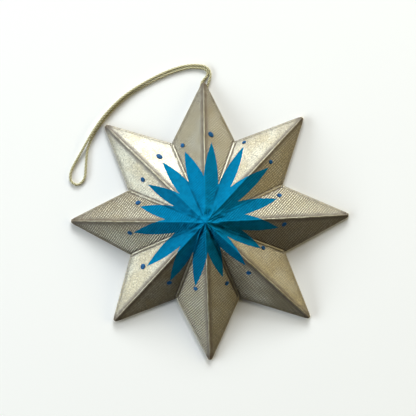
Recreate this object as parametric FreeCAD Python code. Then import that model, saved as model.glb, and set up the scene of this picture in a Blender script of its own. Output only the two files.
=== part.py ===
"""Eight-pointed card star with a hollow front, a flat back and a looped hanging cord.

The star lies on its back: +Z is out of its face and +Y runs to the point that carries the cord.
The origin is the middle of the back, on the surface the star lies on. Millimetres and degrees.
"""

import FreeCAD, Part
import math
import os

Vector = FreeCAD.Vector
UP = Vector(0, 0, 1)

# Overall shape
point_count = 8
tip_reach = 65.0  # centre to where the two rim edges of a point would meet
corner_reach = 38.3  # centre to the inner corner between two points
rise = 20.0  # back of the card points to the apex
apex_shift = (-1.3, -0.9)  # the apex of a hand-folded star is a little off its middle

# How far each hand-folded point and inner corner is from its even place, clockwise from the top point
point_turns = (0.4, 0.8, 0.4, -0.6, -0.9, 0.4, -1.1, 0.9)
point_reach_errors = (-0.6, 0.0, 0.6, 0.7, 0.4, -0.6, -0.8, 0.3)
corner_turns = (2.4, 1.1, -1.7, -2.4, -1.4, 0.1, 0.6, 1.5)
corner_reach_errors = (-0.4, -1.0, -0.5, 0.0, 0.4, 0.6, 0.5, 0.4)

# Card
card_thickness = 0.8
panel_thickness = 1.3
tip_trim = 1.6  # cut off the sharp end of each point, measured along its rim edge

# Paper strips over the folds and seams, and the patch over the apex
strip_thickness = 0.25
ridge_strip_wing = 0.45  # from the fold to the strip's edge, on each side
valley_strip_wing = 0.6
rim_strip_wing = 0.9
rim_strip_lift = 0.15  # bottom of the rim strip above the back's face
patch_reach = 3.8  # apex to the patch's edge, along each fold
patch_gap = 0.3  # between the patch and the strips that run out from it
tip_setback = 0.4  # ridge strip's end to the trimmed tip
corner_setback = 0.9  # valley strip's end to the inner corner
rim_ridge_gap = 0.2  # rim strip's end at the tip to the ridge strip's edge
rim_corner_setback = 0.4  # rim strip's end to the inner corner

# Raised paint drops, one on each facet, clockwise from the left facet of the top point:
# distance from the apex along the back, and turn from the point's ridge towards its inner corner
dot_radius = 1.05
dot_height = 0.4
dot_places = (
    (36.4, 15.9), (39.8, 4.2), (39.0, 17.0), (40.2, 4.4),
    (35.7, 17.0), (35.6, 4.3), (28.6, 18.5), (30.1, 7.0),
    (29.4, 17.2), (30.5, 10.3), (32.1, 11.9), (34.9, 11.9),
    (34.7, 8.5), (31.9, 15.5), (34.4, 9.8), (36.4, 10.9),
)

# Hanging cord, the slot that lets it out and the knot that holds it
cord_diameter = 1.1
cord_lift = 0.05  # underside of the cord above the surface, where it lies
strand_gap = 0.2  # between the two strands where they lie side by side in the slot
slot_clearance = 0.15  # each side of the pair of strands, and above them
slot_mouth_widening = 1.2  # each side, where the strands leave the tip
slot_flare_start = 7.5  # trimmed tip to where the slot starts to widen
slot_flare_end = 2.5  # trimmed tip to where it stops
knot_radius = 1.6
knot_clearance = 0.08  # above the back's inner face, and round the two ends of the cord
knot_headroom = 0.3  # between the knot and the card point over it
knot_to_slot = 3.9  # where the cord leaves the knot to the slot's inner end
knot_straight = 2.8  # the cord's first stretch out of the knot

# The cord's route from where its first strand is down in the slot, round the loop and back to where
# the second strand is: x, y and how far it is raised above where it would lie.
cord_route = (
    (-1.15, 56.0, 0.0), (-1.6, 60.2, 0.0), (-1.5, 63.2, 0.0), (1.7, 66.2, 0.0),
    (1.2, 68.8, 0.0), (-2.4, 69.8, 0.0), (-8.0, 69.9, 0.0), (-16.0, 67.7, 0.0),
    (-26.5, 63.1, 0.0), (-36.7, 57.2, 0.0), (-44.8, 49.5, 0.0), (-50.8, 41.8, 0.0),
    (-54.3, 35.4, 0.0), (-55.2, 29.2, 0.0), (-55.6, 24.3, 0.0), (-56.1, 20.2, 0.0),
    (-59.3, 17.2, 0.0), (-62.8, 19.2, 0.0), (-62.6, 23.8, 0.0), (-60.0, 28.4, 0.05),
    (-57.0, 33.2, 0.6), (-51.8, 41.9, 1.1), (-45.6, 50.1, 1.1), (-37.2, 57.9, 1.0),
    (-26.9, 64.1, 0.5), (-16.4, 69.1, 0.1), (-8.6, 71.3, 0.0), (-2.8, 71.5, 0.0),
    (1.4, 70.5, 0.0), (3.3, 67.4, 0.0), (2.9, 63.8, 0.0), (0.9, 60.4, 0.0),
    (0.15, 56.0, 0.0),
)
arc_share = 0.45  # of the shorter run that each bend may use

POINTS = range(point_count)
STEP = 360.0 / point_count
BACK = panel_thickness  # height of the face where the card points meet the back
SLOT_HALF_WIDTH = cord_diameter + strand_gap / 2 + slot_clearance
SLOT_MOUTH = SLOT_HALF_WIDTH + slot_mouth_widening
SLOT_TOP = cord_lift + cord_diameter + slot_clearance
KNOT_HEIGHT = BACK + knot_radius + knot_clearance


def polar(reach, turn, height=0.0):
    """A point at a distance and direction from the middle of the back."""
    angle = math.radians(turn)
    return Vector(reach * math.cos(angle), reach * math.sin(angle), height)


def unit(v):
    return Vector(v).normalize()


def tip(i):
    """Sharp tip of a point, before it is trimmed."""
    return polar(tip_reach + point_reach_errors[i], 90 - STEP * i + point_turns[i], BACK)


def corner(i):
    """Inner corner between point i and the next one clockwise."""
    i %= point_count
    turn = 90 - STEP * (i + 0.5) + corner_turns[i]
    return polar(corner_reach + corner_reach_errors[i], turn, BACK)


FOOT = Vector(apex_shift[0], apex_shift[1], BACK)
APEX = FOOT + UP * rise


def trimmed(i):
    """The two ends of a point's trimmed tip, on its left and right rim edges."""
    sharp = tip(i)
    return [sharp + unit(c - sharp) * tip_trim for c in (corner(i - 1), corner(i))]


def outward_normal(a, b, c):
    """Unit normal of the plane through three points, on its upper side."""
    n = unit((b - a).cross(c - a))
    return n if n.z > 0 else -n


def face(points):
    return Part.Face(Part.makePolygon(list(points) + [points[0]]))


def solid_of(outlines):
    """A closed solid from its flat faces, each given by its corners."""
    shape = Part.Solid(Part.Shell([face(outline) for outline in outlines]))
    if shape.Volume < 0:
        shape.reverse()
    return shape


def tip_cutter(i):
    """A block over everything that is beyond a point's trimmed tip."""
    left, right = trimmed(i)
    across = unit(right - left) * tip_reach * 0.2
    out = unit(UP.cross(right - left))
    out = out if out.dot(tip(i)) > 0 else -out
    below = UP * (BACK + 1)
    base = [left - across, right + across, right + across + out * tip_trim * 3]
    base.append(left - across + out * tip_trim * 3)
    return face([p - below for p in base]).extrude(UP * (rise + BACK + 2))


def point_card(i):
    """One folded card point: two facets that meet at the ridge, open at the back."""
    left, right, sharp = corner(i - 1), corner(i), tip(i)
    depth = [abs((FOOT - APEX).dot(outward_normal(APEX, sharp, c))) for c in (left, right)]
    shrink = 1 - card_thickness / (sum(depth) / 2)
    inner = {p: FOOT + (q - FOOT) * shrink for p, q in
             (("apex", APEX), ("tip", sharp), ("left", left), ("right", right))}
    shell = solid_of([
        (APEX, sharp, left), (APEX, right, sharp),
        (inner["apex"], inner["left"], inner["tip"]), (inner["apex"], inner["tip"], inner["right"]),
        (APEX, left, inner["left"], inner["apex"]), (APEX, inner["apex"], inner["right"], right),
        (left, sharp, inner["tip"], inner["left"]), (sharp, right, inner["right"], inner["tip"]),
    ])
    shell = shell.cut(tip_cutter(i))
    return shell.cut(cord_slot(SLOT_TOP)) if i == 0 else shell


def leg(start, along, towards, length):
    """Offset of a length, square to a fold, along the face that holds another point."""
    v = towards - start
    return unit(v - along * v.dot(along)) * length


def folded_strip(start, end, legs, normals):
    """A paper strip bent over the fold from start to end, lying on both faces beside it."""
    lifts = [n * strip_thickness for n in normals]
    mitre = (normals[0] + normals[1]) * (strip_thickness / (1 + normals[0].dot(normals[1])))
    section = (Vector(), legs[0], legs[0] + lifts[0], mitre, legs[1] + lifts[1], legs[1])
    return face([start + offset for offset in section]).extrude(end - start)


def seam_strip(foot, setback, sides, wing):
    """A strip along the fold from the apex to a foot on the rim, between two facets."""
    along = unit(foot - APEX)
    start = APEX + along * (patch_reach + patch_gap)
    end = foot - along * setback
    legs = [leg(start, along, s, wing) for s in sides]
    normals = [outward_normal(APEX, foot, s) for s in sides]
    return folded_strip(start, end, legs, normals)


def ridge_strip(i):
    left, right = trimmed(i)
    trim = (tip(i) - (left + right) / 2).Length
    return seam_strip(tip(i), trim + tip_setback, (corner(i - 1), corner(i)), ridge_strip_wing)


def valley_strip(i):
    return seam_strip(corner(i), corner_setback, (tip(i), tip((i + 1) % point_count)),
                      valley_strip_wing)


def ridge_setback(i, along):
    """From a point's sharp tip, how far along its rim edge the strip there clears the ridge strip."""
    turn = along.getAngle(unit(tip(i) - APEX))
    reach = ridge_strip_wing + rim_ridge_gap + rim_strip_wing * math.cos(turn)
    return reach / math.sin(turn)


def rim_strip(i, side):
    """Binding over one rim edge: on the facet and down the back's edge, clear of its face."""
    foot = corner(i - 1) if side == "left" else corner(i)
    along = unit(tip(i) - foot)
    start = foot + along * rim_corner_setback
    end = tip(i) - along * (slot_setback(along) if i == 0 else ridge_setback(i, along))
    wall = unit(along.cross(UP))
    wall = wall if wall.dot(foot - FOOT) > 0 else -wall
    legs = (leg(start, along, APEX, rim_strip_wing), -UP * (panel_thickness - rim_strip_lift))
    return folded_strip(start, end, legs, (outward_normal(APEX, tip(i), foot), wall))


def apex_patch():
    """The small patch over the apex, bent over all the folds that meet there."""
    feet = [foot for i in POINTS for foot in (tip(i), corner(i))]
    ring = [APEX + unit(foot - APEX) * patch_reach for foot in feet]
    lift = UP * strip_thickness
    outlines = []
    for a, b in zip(ring, ring[1:] + ring[:1]):
        outlines += [(APEX, a, b), (APEX + lift, b + lift, a + lift), (a, a + lift, b + lift, b)]
    return solid_of(outlines)


def back_panel():
    """The flat card back, with the slot that lets the two strands of the cord out."""
    outline = [p for i in POINTS for p in trimmed(i) + [corner(i)]]
    panel = face([p - UP * panel_thickness for p in outline]).extrude(UP * panel_thickness)
    return panel.cut(cord_slot(panel_thickness + 1))


def slot_frame():
    """Middle of the top point's trimmed tip, the way out along the point, and the way across."""
    left, right = trimmed(0)
    middle = (left + right) / 2
    middle.z = 0
    out = unit(Vector(tip(0).x - FOOT.x, tip(0).y - FOOT.y, 0))
    return middle, out, out.cross(UP)


def slot_setback(along):
    """From the top point's sharp tip, how far along its rim edge the cord's slot reaches."""
    across = slot_frame()[2]
    return (SLOT_MOUTH + slot_clearance) / abs(along.dot(across))


def knot_setback():
    """From the top point's trimmed tip to the knot's middle, where the hollow is tall enough."""
    middle, out, _ = slot_frame()
    start = middle + UP * KNOT_HEIGHT
    room = knot_radius + knot_headroom + card_thickness
    needs = []
    for foot in (corner(-1), corner(0)):
        normal = outward_normal(APEX, tip(0), foot)
        needs.append((room - normal.dot(APEX - start)) / normal.dot(out))
    return max(needs)


def knot_flat_depth():
    """From the knot's middle to the flat where both ends of the cord enter it."""
    flat_radius = cord_diameter + strand_gap / 2 + knot_clearance
    return math.sqrt(knot_radius ** 2 - flat_radius ** 2)


def cord_slot(top):
    """The space the two strands take on their way out under the top point."""
    middle, out, across = slot_frame()
    inner_end = knot_setback() - knot_flat_depth() - knot_to_slot
    stations = ((-inner_end, SLOT_HALF_WIDTH), (-slot_flare_start, SLOT_HALF_WIDTH),
                (-slot_flare_end, SLOT_MOUTH), (slot_flare_end, SLOT_MOUTH))
    left = [middle + out * s - across * w - UP for s, w in stations]
    right = [middle + out * s + across * w - UP for s, w in reversed(stations)]
    return face(left + right).extrude(UP * (top + 1))


def paint_dot(i, side):
    """A raised drop of paint that sits on one facet."""
    reach, turn = dot_places[2 * i + (side == "right")]
    foot = corner(i - 1) if side == "left" else corner(i)
    ridge_turn = math.degrees(math.atan2(tip(i).y - FOOT.y, tip(i).x - FOOT.x))
    turn = ridge_turn + (turn if side == "left" else -turn)
    plan = FOOT + polar(reach, turn)
    normal = outward_normal(APEX, tip(i), foot)
    on_facet = plan + UP * (normal.dot(APEX - plan) / normal.z)
    ball = (dot_radius ** 2 + dot_height ** 2) / (2 * dot_height)
    depth = ball - dot_height
    latitude = math.degrees(math.asin(depth / ball))
    return Part.makeSphere(ball, on_facet - normal * depth, normal, latitude, 90, 360)


def knot_middle():
    middle, out, _ = slot_frame()
    return middle - out * knot_setback() + UP * KNOT_HEIGHT


def cord_knot():
    """The knot inside the top point: a ball with a flat where both ends of the cord enter it."""
    inward = -slot_frame()[1]
    latitude = math.degrees(math.asin(knot_flat_depth() / knot_radius))
    return Part.makeSphere(knot_radius, knot_middle(), inward, -latitude, 90, 360)


def whole_route():
    """The cord's points from the knot, out along its route and back to the knot."""
    out, across = slot_frame()[1:]
    flat = knot_middle() + out * knot_flat_depth()
    offset = across * (cord_diameter + strand_gap) / 2
    free = [Vector(x, y, raised + cord_lift + cord_diameter / 2) for x, y, raised in cord_route]
    first = [flat - offset, flat - offset + out * knot_straight]
    last = [flat + offset + out * knot_straight, flat + offset]
    return first + free + last


def cord_path():
    """Straight runs along the route joined by tangent arcs, and the radius of each arc."""
    route = whole_route()
    edges, radii, start = [], [], route[0]
    for before, at, after in zip(route, route[1:], route[2:]):
        back, ahead = unit(before - at), unit(after - at)
        half_turn = (math.pi - back.getAngle(ahead)) / 2
        tangent = arc_share * min((before - at).Length, (after - at).Length)
        radius = tangent / math.tan(half_turn)
        entry, leave = at + back * tangent, at + ahead * tangent
        middle = at + unit(back + ahead) * (radius / math.cos(half_turn) - radius)
        edges.append(Part.LineSegment(start, entry).toShape())
        edges.append(Part.Arc(entry, middle, leave).toShape())
        radii.append(radius)
        start = leave
    edges.append(Part.LineSegment(start, route[-1]).toShape())
    return Part.Wire(edges), radii


def hanging_cord():
    """One cord, out of the slot, round the loop and back beside itself."""
    path, radii = cord_path()
    first, second = whole_route()[:2]
    section = Part.Wire(Part.makeCircle(cord_diameter / 2, first, second - first))
    tube = path.makePipeShell([section], True, False)
    expected = math.pi * cord_diameter ** 2 / 4 * path.Length
    print("cord length", round(path.Length, 1), "tube volume over section times length",
          round(tube.Volume / expected, 4))
    print("bend radii", [round(r, 1) for r in radii])
    return tube


def save(name, shape):
    shape.exportStep("parts/" + name + ".step")


def main():
    os.makedirs("parts", exist_ok=True)
    for i in POINTS:
        number = str(i + 1)
        save("point_card_" + number, point_card(i))
        save("ridge_strip_" + number, ridge_strip(i))
        save("valley_strip_" + number, valley_strip(i))
        for side in ("left", "right"):
            save("rim_strip_" + number + "_" + side, rim_strip(i, side))
    dots = [paint_dot(i, side) for i in POINTS for side in ("left", "right")]
    save("paint_dots", Part.makeCompound(dots))
    save("apex_patch", apex_patch())
    save("back_panel", back_panel())
    save("cord_knot", cord_knot())
    save("hanging_cord", hanging_cord())


main()
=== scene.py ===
"""Looks of a folded card star with a painted flower on its face and a looped twine to hang it by.

The file is laid out as an add-on and is run as a script. Each operator makes one group of pieces
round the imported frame, in metres, with the star on its back and its face up.
"""

import math

import bmesh
import bpy
import numpy as np
from bpy.props import FloatProperty, FloatVectorProperty, IntProperty, PointerProperty
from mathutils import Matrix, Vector


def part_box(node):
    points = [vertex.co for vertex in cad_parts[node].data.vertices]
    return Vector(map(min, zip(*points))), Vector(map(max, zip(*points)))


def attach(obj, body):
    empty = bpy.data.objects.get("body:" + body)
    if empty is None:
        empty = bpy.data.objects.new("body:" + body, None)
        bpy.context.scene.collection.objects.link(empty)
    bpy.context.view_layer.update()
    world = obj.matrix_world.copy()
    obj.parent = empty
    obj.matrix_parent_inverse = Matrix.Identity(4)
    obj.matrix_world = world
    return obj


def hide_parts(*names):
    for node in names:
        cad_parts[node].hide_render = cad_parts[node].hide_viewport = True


bl_info = {
    "name": "Paper snowflake star",
    "version": (1, 0, 0),
    "blender": (4, 5, 0),
    "location": "3D View > Sidebar > Star",
    "description": "Makes the visible pieces of a folded card star round its packed frame",
    "category": "Object",
}

MM = 0.001
POINTS = range(1, 9)
SIDES = ("left", "right")
BODY = "root"

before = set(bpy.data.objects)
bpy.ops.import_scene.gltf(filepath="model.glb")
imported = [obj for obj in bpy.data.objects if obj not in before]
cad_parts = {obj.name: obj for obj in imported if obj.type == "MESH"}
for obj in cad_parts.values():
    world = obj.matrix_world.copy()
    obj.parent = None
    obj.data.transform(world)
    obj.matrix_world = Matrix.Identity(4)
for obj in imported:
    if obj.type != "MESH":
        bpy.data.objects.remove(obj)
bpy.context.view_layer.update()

# The twine's route, in millimetres: from the knot down into the slot, out under the top point,
# along the surface, round the loop and back to the knot.
TWINE_ROUTE = (
    (-1.31, 49.14, 2.98), (-1.28, 51.94, 2.98), (-1.15, 56.0, 0.6), (-1.6, 60.2, 0.6),
    (-1.5, 63.2, 0.6), (1.7, 66.2, 0.6), (1.2, 68.8, 0.6), (-2.4, 69.8, 0.6),
    (-8.0, 69.9, 0.6), (-16.0, 67.7, 0.6), (-26.5, 63.1, 0.6), (-36.7, 57.2, 0.6),
    (-44.8, 49.5, 0.6), (-50.8, 41.8, 0.6), (-54.3, 35.4, 0.6), (-55.2, 29.2, 0.6),
    (-55.6, 24.3, 0.6), (-56.1, 20.2, 0.6), (-59.3, 17.2, 0.6), (-62.8, 19.2, 0.6),
    (-62.6, 23.8, 0.6), (-60.0, 28.4, 0.65), (-57.0, 33.2, 1.2), (-51.8, 41.9, 1.7),
    (-45.6, 50.1, 1.7), (-37.2, 57.9, 1.6), (-26.9, 64.1, 1.1), (-16.5, 68.9, 0.7),
    (-8.5, 71.0, 0.6), (-2.6, 71.1, 0.6), (1.2, 70.1, 0.6), (3.0, 67.2, 0.6),
    (2.2, 63.6, 0.6), (0.5, 60.2, 0.6), (0.15, 56.0, 0.6), (0.02, 51.92, 2.98),
    (-0.01, 49.12, 2.98),
)

# The painted flower, clockwise from the petal left of the top ridge. Each petal has the reach of
# its tip in millimetres from the apex and its turn in degrees from straight up, and the same for
# the silver notch that follows it.
PETALS = (
    (33.4, -14.7, 20.8, -0.5), (36.3, 5.9, 17.9, 20.1), (38.6, 28.4, 19.5, 36.8),
    (37.9, 50.8, 17.2, 58.6), (34.3, 73.7, 18.1, 80.3), (33.0, 95.9, 16.4, 103.4),
    (27.8, 117.0, 11.6, 124.4), (26.6, 138.6, 12.4, 150.9), (26.2, 164.3, 13.5, 177.5),
    (29.4, 190.7, 14.4, 204.1), (31.2, 212.8, 15.6, 228.4), (33.2, 234.7, 14.3, 252.6),
    (33.0, 263.3, 18.1, 275.7), (30.6, 284.9, 15.8, 298.9), (31.1, 304.6, 17.6, 319.0),
    (33.3, 325.8, 19.4, 338.9),
)

# Direction of the facing paper's ribs on each card point, in degrees from +X
RIB_TURNS = (41.0, 42.0, 45.0, 41.0, 42.0, 41.0, 50.0, 42.0)

# How strongly the ribs show on each point's left and right facet, once they are painted over
RIB_STRENGTHS = ((0.35, 0.6), (0.15, 0.45), (0.85, 0.75), (0.4, 0.8),
                 (0.45, 1.0), (0.3, 0.15), (1.0, 0.75), (0.2, 0.1))

# Length, width and direction of each brushed drop, clockwise from the one left of the top ridge;
# in millimetres, and degrees from +X
DROP_SHAPES = (
    (2.2, 2.0, -40), (3.0, 2.4, -35), (2.1, 1.4, 30), (2.1, 1.9, -40), (2.3, 2.1, 0),
    (2.4, 1.9, 35), (2.1, 1.9, 0), (2.3, 2.0, 0), (2.2, 1.8, 40), (2.2, 1.9, 0),
    (2.4, 1.9, 10), (2.7, 2.5, 45), (2.5, 1.9, -20), (2.4, 2.1, 0), (2.4, 2.1, -50),
    (3.2, 2.3, -35),
)
RIM_DROP = 2  # place in the list of the drop that is brushed nearly over the rim
RIM_DROP_SHIFT = 1.5 * MM


class StarSizes(bpy.types.PropertyGroup):
    """Sizes of the surface detail, which the frame doesn't hold."""

    rib_pitch: FloatProperty(
        name="Rib pitch", description="From one rib of the facing paper to the next",
        default=0.89 * MM, unit="LENGTH")
    rib_height: FloatProperty(
        name="Rib height", description="Top of a rib above the groove beside it",
        default=0.28 * MM, unit="LENGTH")
    fold_fade: FloatProperty(
        name="Fold fade", description="How far from a fold the paper's relief dies out",
        default=0.7 * MM, unit="LENGTH")
    crumple_reach: FloatProperty(
        name="Crumple reach", description="How far from the apex the paper is creased",
        default=17.0 * MM, unit="LENGTH")
    crumple_height: FloatProperty(
        name="Crumple height", description="Height of the creases round the apex",
        default=1.0 * MM, unit="LENGTH")
    facing_level: IntProperty(
        name="Facing detail", description="Times each facet of the facing paper is subdivided",
        default=8, min=1, max=8)
    paint_height: FloatProperty(
        name="Paint height", description="Thickness of the painted flower",
        default=0.05 * MM, unit="LENGTH")
    bead_height: FloatProperty(
        name="Bead height", description="How far the strips over the folds are crowned",
        default=0.18 * MM, unit="LENGTH")
    twine_diameter: FloatProperty(
        name="Twine diameter", description="Outside of the twisted twine",
        default=1.1 * MM, unit="LENGTH")
    twine_lay: FloatProperty(
        name="Twine lay", description="Length of one whole turn of a ply",
        default=4.6 * MM, unit="LENGTH")
    camera_height: FloatProperty(
        name="Camera height", description="Camera above the surface the star lies on",
        default=0.7, unit="LENGTH")
    view_width: FloatProperty(
        name="View width", description="Width of the surface that the camera sees",
        default=190.7 * MM, unit="LENGTH")


def colour(name, description, default):
    return FloatVectorProperty(
        name=name, description=description, default=default, subtype="COLOR", min=0, max=1)


class StarColours(bpy.types.PropertyGroup):
    """Colours of the paints, the twine and the floor."""

    champagne: colour("Champagne", "Metallic paint on the facing paper", (0.245, 0.196, 0.094))
    silver: colour("Silver", "The paint where it is thickest", (0.33, 0.297, 0.203))
    # Antique also serves as painted shade in the rib grooves of the facing.
    antique_and_shade: colour("Antique", "Brown wash in the folds and at the edges", (0.085, 0.053, 0.021))
    flower: colour("Flower", "Blue paint of the petals", (0.0, 0.175, 0.33))
    drops: colour("Drops", "Raised drops of royal blue paint", (0.003, 0.05, 0.13))
    card: colour("Card", "Bare card of the back", (0.42, 0.35, 0.22))
    straw: colour("Straw", "Lit fibres of the twine", (0.50, 0.455, 0.265))
    # Straw shade is painted shade on the fibres where the plies meet.
    straw_painted_shade: colour("Straw shade", "Fibres between the plies", (0.25, 0.19, 0.08))
    floor: colour("Floor", "Plain surface under the star", (0.97, 0.942, 0.90))


# ---------------------------------------------------------------- node trees


class Wire:
    """An output of a node; arithmetic on it adds the Math nodes that work it out."""

    def __init__(self, tree, socket):
        self.tree = tree
        self.socket = socket

    def __add__(self, other):
        return self.tree.math("ADD", self, other)

    def __sub__(self, other):
        return self.tree.math("SUBTRACT", self, other)

    def __rsub__(self, other):
        return self.tree.math("SUBTRACT", other, self)

    def __mul__(self, other):
        return self.tree.math("MULTIPLY", self, other)

    def __truediv__(self, other):
        return self.tree.math("DIVIDE", self, other)

    def __rtruediv__(self, other):
        return self.tree.math("DIVIDE", other, self)

    def __pow__(self, other):
        return self.tree.math("POWER", self, other)

    def __rpow__(self, other):
        return self.tree.math("POWER", other, self)

    def __abs__(self):
        return self.tree.math("ABSOLUTE", self)

    __radd__ = __add__
    __rmul__ = __mul__

    def smooth(self, low, high):
        """0 below low, 1 above high and an S curve between; it falls where low is the larger."""
        low_end, high_end = (low, high) if low < high else (high, low)
        rising = self.tree.node(
            "ShaderNodeMapRange", {"interpolation_type": "SMOOTHSTEP"},
            {"Value": self, "From Min": low_end, "From Max": high_end})
        return rising if low < high else 1 - rising

    def largest(self, other):
        return self.tree.math("MAXIMUM", self, other)


class Tree:
    """A node tree that is filled through one method."""

    def __init__(self, tree):
        self.tree = tree

    def node(self, kind, settings=None, inputs=(), output=0):
        """Adds a node, sets it up, then gives its sockets their values or links."""
        made = self.tree.nodes.new(kind)
        for name, value in (settings or {}).items():
            setattr(made, name, value)
        pairs = inputs.items() if isinstance(inputs, dict) else enumerate(inputs)
        for key, value in pairs:
            self.feed(made.inputs[key], value)
        return Wire(self, made.outputs[output]) if made.outputs else made

    def feed(self, socket, value):
        if isinstance(value, Wire):
            self.tree.links.new(value.socket, socket)
        else:
            socket.default_value = value

    def math(self, operation, *values):
        return self.node("ShaderNodeMath", {"operation": operation}, values)

    def vector(self, operation, *values, output=0):
        return self.node("ShaderNodeVectorMath", {"operation": operation}, values, output)

    def parts(self, vector):
        """The three numbers of a vector."""
        return (self.node("ShaderNodeSeparateXYZ", {}, [vector], output=i) for i in range(3))

    def noise(self, where, size, detail=2.0, roughness=0.5):
        """Noise whose features are about a size across, in metres."""
        return self.node(
            "ShaderNodeTexNoise", {},
            {"Vector": where, "Scale": 1 / size, "Detail": detail, "Roughness": roughness})


class Finish(Tree):
    """A material built from expressions, on one shader or on two with a factor between them."""

    def __init__(self, name, **constants):
        self.material = bpy.data.materials.new(name)
        self.material.use_nodes = True
        super().__init__(self.material.node_tree)
        self.tree.nodes.clear()
        self.shader = self.layer(constants)
        self.output = self.node("ShaderNodeOutputMaterial", {}, [self.shader])
        self.place = self.node("ShaderNodeTexCoord", output="Object")

    def layer(self, constants):
        """A shader with its constants set on its own sockets."""
        named = {socket.replace("_", " "): value for socket, value in constants.items()}
        return self.node("ShaderNodeBsdfPrincipled", {}, named)

    def cover(self, factor, **constants):
        """Lays a second shader over the first where the factor is 1; what follows goes to it."""
        under, self.shader = self.shader, self.layer(constants)
        both = self.node("ShaderNodeMixShader", {}, [factor, under, self.shader])
        self.feed(self.output.inputs["Surface"], both)

    def give(self, socket, value):
        self.feed(self.shader.socket.node.inputs[socket], value)

    def mix(self, factor, first, second):
        """From the first colour to the second as the factor rises."""
        return self.node(
            "ShaderNodeMix", {"data_type": "RGBA"}, {0: factor, 6: first, 7: second}, output=2)

    def mark(self, name):
        """A number stored on the piece's points."""
        return self.node("ShaderNodeAttribute", {"attribute_name": name}, output="Fac")

    def bump(self, height, distance, strength=1.0):
        bumped = self.node(
            "ShaderNodeBump", {}, {"Strength": strength, "Distance": distance, "Height": height})
        self.give("Normal", bumped)


def rgba(value):
    return (*value, 1.0)


class Shaper(Tree):
    """A geometry tree with named inputs that ends in Realize Instances and Set Material."""

    KINDS = {float: "NodeSocketFloat", int: "NodeSocketInt", tuple: "NodeSocketVector"}

    def __init__(self, name, **defaults):
        super().__init__(bpy.data.node_groups.new(name, "GeometryNodeTree"))
        interface = self.tree.interface
        interface.new_socket("Geometry", in_out="INPUT", socket_type="NodeSocketGeometry")
        interface.new_socket("Geometry", in_out="OUTPUT", socket_type="NodeSocketGeometry")
        for key, value in defaults.items():
            made = interface.new_socket(
                key.replace("_", " ").capitalize(), in_out="INPUT",
                socket_type=self.KINDS[type(value)])
            made.default_value = value
        interface.new_socket("Material", in_out="INPUT", socket_type="NodeSocketMaterial")
        self.entry = self.node("NodeGroupInput").socket.node

    def given(self, name):
        return Wire(self, self.entry.outputs[name])

    def finish(self, geometry):
        real = self.node("GeometryNodeRealizeInstances", {}, [geometry])
        painted = self.node(
            "GeometryNodeSetMaterial", {}, {"Geometry": real, "Material": self.given("Material")})
        self.node("NodeGroupOutput", {}, [painted])
        return self.tree


def shaped(name, mesh, tree, material, **inputs):
    """A piece with the plain mesh that a geometry tree makes of a starting mesh."""
    piece = bpy.data.objects.new(name, mesh)
    bpy.context.scene.collection.objects.link(piece)
    modifier = piece.modifiers.new("shape", "NODES")
    modifier.node_group = tree
    wanted = {key.replace("_", " ").capitalize(): value for key, value in inputs.items()}
    wanted["Material"] = material
    for item in tree.interface.items_tree:
        if item.in_out == "INPUT" and item.name in wanted:
            modifier[item.identifier] = wanted[item.name]
    layers = bpy.context.evaluated_depsgraph_get()
    made = bpy.data.meshes.new_from_object(
        piece.evaluated_get(layers), preserve_all_data_layers=True, depsgraph=layers)
    piece.modifiers.remove(modifier)
    piece.data = made
    made.name = name
    return piece


def mesh_of(name, points, faces):
    mesh = bpy.data.meshes.new(name)
    mesh.from_pydata([tuple(p) for p in points], [], faces)
    mesh.update()
    return mesh


def settle(piece, body, nodes):
    """Rides a piece on its body and hides the frame nodes it stands for."""
    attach(piece, body)
    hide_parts(*nodes)
    return piece


# ---------------------------------------------------------------- the folds, read from the frame


def unit(v):
    return v / np.linalg.norm(v)


def frame_points(node):
    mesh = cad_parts[node].data
    flat = np.zeros(len(mesh.vertices) * 3)
    mesh.vertices.foreach_get("co", flat)
    return flat.reshape(-1, 3)


class Fold:
    """Corners of one card point: apex, tip before it is trimmed, and inner corners."""

    TOUCH = 0.01 * MM

    def __init__(self, number):
        points = frame_points(f"point_card_{number}")
        self.apex = points[points[:, 2].argmax()]
        low = points[:, 2].min()
        self.foot = np.array([self.apex[0], self.apex[1], low])
        base = points[points[:, 2] < low + self.TOUCH]
        reach = np.linalg.norm(base - self.foot, axis=1)
        ends = base[reach > reach.max() - 1.5 * MM]
        self.out = unit(ends.mean(axis=0) - self.foot)
        self.across = np.array([-self.out[1], self.out[0], 0.0])
        sideways = (base - self.foot) @ self.across
        self.left, self.right = base[sideways.argmax()], base[sideways.argmin()]
        at_end = (ends - self.foot) @ self.across
        trims = ends[at_end.argmax()], ends[at_end.argmin()]
        self.trim = (trims[0] + trims[1]) / 2
        runs = trims[0] - self.left, trims[1] - self.right
        sides = np.array([runs[0][:2], -runs[1][:2]]).T
        share = np.linalg.solve(sides, (self.right - self.left)[:2])[0]
        self.tip = self.left + runs[0] * share
        under = points[np.linalg.norm((points - self.apex)[:, :2], axis=1) < self.TOUCH]
        self.shrink = (under[:, 2].min() - low) / (self.apex[2] - low)

    def corner(self, side):
        return self.left if side == "left" else self.right

    def normal(self, side):
        """Unit normal of one facet, on its upper side."""
        n = unit(np.cross(self.tip - self.apex, self.corner(side) - self.apex))
        return n if n[2] > 0 else -n


FOLDS = [Fold(number) for number in POINTS]
APEX = FOLDS[0].apex


def to_segments(places, starts, ends):
    """Distance of each place to the nearest of some segments, all of them in plan."""
    nearest = np.full(len(places), 1.0)
    for start, end in zip(starts, ends):
        run = end - start
        share = np.clip((places - start) @ run / (run @ run), 0, 1)
        gap = np.linalg.norm(places - start - share[:, None] * run, axis=1)
        nearest = np.minimum(nearest, gap)
    return nearest


def plan_of(reach, turn):
    """A place in plan at a reach in millimetres and a clockwise turn from straight up."""
    angle = math.radians(turn)
    return APEX[:2] + np.array([math.sin(angle), math.cos(angle)]) * reach * MM


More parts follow.
